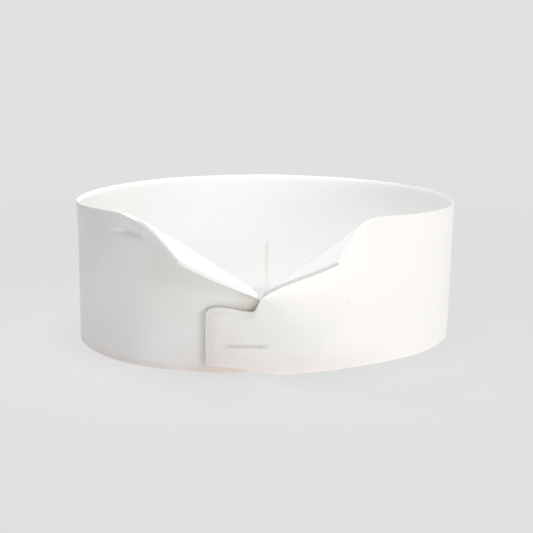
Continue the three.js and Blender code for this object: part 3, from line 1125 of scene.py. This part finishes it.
class WINGCOLLAR_OT_buttonholes(bpy.types.Operator):
    """Make the stitching round the lying front buttonhole and the standing back one"""

    bl_idname = "wing_collar.buttonholes"
    bl_label = "Buttonholes"

    def execute(self, context):
        sizes = context.scene.wing_collar_sizes
        collar = Collar(sizes)
        material = thread_material(context.scene.wing_collar_finish)
        for name, slit in zip(STITCHES, (FRONT_SLIT, BACK_SLIT)):
            bm = bmesh.new()
            for turn_on, face in ((0, 1), (slit["round"], -1)):
                sew_buttonhole(bm, collar, slit, turn_on, face, sizes.thread / MM)
            new_piece(name, bm, material)
        return {"FINISHED"}


def sew_buttonhole(bm, collar, slit, turn_on, face, thread):
    """Sews whip stitches along both sides of a slit and a tack at each end, on one face of the cloth."""
    radius = collar.ring_value(slit["turn"], "radius")
    surface = face * (collar.cloth / 2 + slit["proud"] - thread / 2)

    def spot(along, across):
        sideways, upward = (along, across) if slit["lies"] else (across, along)
        turn = slit["turn"] + turn_on + math.degrees(sideways / radius)
        return collar.wall_point(turn, slit["height"] + upward, surface) + RING_CENTRE

    def stitch(along, across, reach):
        """One stitch, which crosses the slit's line."""
        a, b = (spot(along, across + hand * reach / 2) for hand in (-1, 1))
        wide, thick, long = STITCH_SHAPE
        shape = Matrix.Diagonal((thread * wide, thread * thick, reach * long, 1))
        turned = (a - b).to_track_quat("Z", "Y").to_matrix().to_4x4()
        place = Matrix.Translation((a + b) / 2) @ turned @ shape
        bmesh.ops.create_uvsphere(
            bm, u_segments=8, v_segments=5, radius=1, matrix=Matrix.Scale(MM, 4) @ place
        )

    half = slit["length"] / 2
    for along in spread(-half, half, int(slit["length"] / STITCH_PITCH)):
        stray = STITCH_STRAY * noise.noise(Vector((along * STRAY_QUICKNESS, turn_on, face)))
        for hand in (-1, 1):
            stitch(along, hand * (STITCH_LENGTH / 2 - STITCH_OVER) + stray, STITCH_LENGTH)
    for hand in (-1, 1):
        for i in range(TACK_STITCHES):
            along = hand * (half + STITCH_PITCH * (i + TACK_START))
            stitch(along, 0, 2 * STITCH_LENGTH * (1 - TACK_SHORTER * i))


def thread_material(finish):
    material, shader, n = new_material("buttonhole_thread")
    place = n.add("ShaderNodeTexCoord").outputs["Object"]
    faded = n.math("MULTIPLY", n.cloud(place, STITCH_GRAIN, detail=2.0)["Fac"], STITCH_FADED)
    colour = n.mix(faded, (*finish.thread, 1), (*finish.linen, 1))
    forward = n.add("ShaderNodeSeparateXYZ", Vector=place).outputs["Y"]
    handled = n.math("MULTIPLY", n.math("LESS_THAN", forward, 0.0), STITCH_GRIME)
    colour = n.mix(handled, colour, (*finish.dust_and_shade, 1))
    n.feed(shader, Base_Color=colour, Roughness=THREAD_ROUGHNESS, Sheen_Weight=THREAD_SHEEN)
    return material


class WINGCOLLAR_PT_panel(bpy.types.Panel):
    """Lists the collar's sizes, colours and pieces"""

    bl_label = "Wing collar"
    bl_idname = "WINGCOLLAR_PT_panel"
    bl_space_type = "VIEW_3D"
    bl_region_type = "UI"
    bl_category = "Wing collar"

    def draw(self, context):
        for group in (context.scene.wing_collar_sizes, context.scene.wing_collar_finish):
            box = self.layout.box()
            for name in group.__annotations__:
                box.prop(group, name)
        for operator in (WINGCOLLAR_OT_stage, WINGCOLLAR_OT_buttonholes, WINGCOLLAR_OT_cloth):
            self.layout.operator(operator.bl_idname)


CLASSES = (
    CollarSizes,
    CollarFinish,
    WINGCOLLAR_OT_stage,
    WINGCOLLAR_OT_cloth,
    WINGCOLLAR_OT_buttonholes,
    WINGCOLLAR_PT_panel,
)


def register():
    for item in CLASSES:
        bpy.utils.register_class(item)
    bpy.types.Scene.wing_collar_sizes = PointerProperty(type=CollarSizes)
    bpy.types.Scene.wing_collar_finish = PointerProperty(type=CollarFinish)


def unregister():
    del bpy.types.Scene.wing_collar_finish
    del bpy.types.Scene.wing_collar_sizes
    for item in reversed(CLASSES):
        bpy.utils.unregister_class(item)


def main():
    register()
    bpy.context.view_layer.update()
    bpy.ops.wing_collar.stage()
    bpy.ops.wing_collar.buttonholes()
    bpy.ops.wing_collar.cloth()


if __name__ == "__main__":
    main()
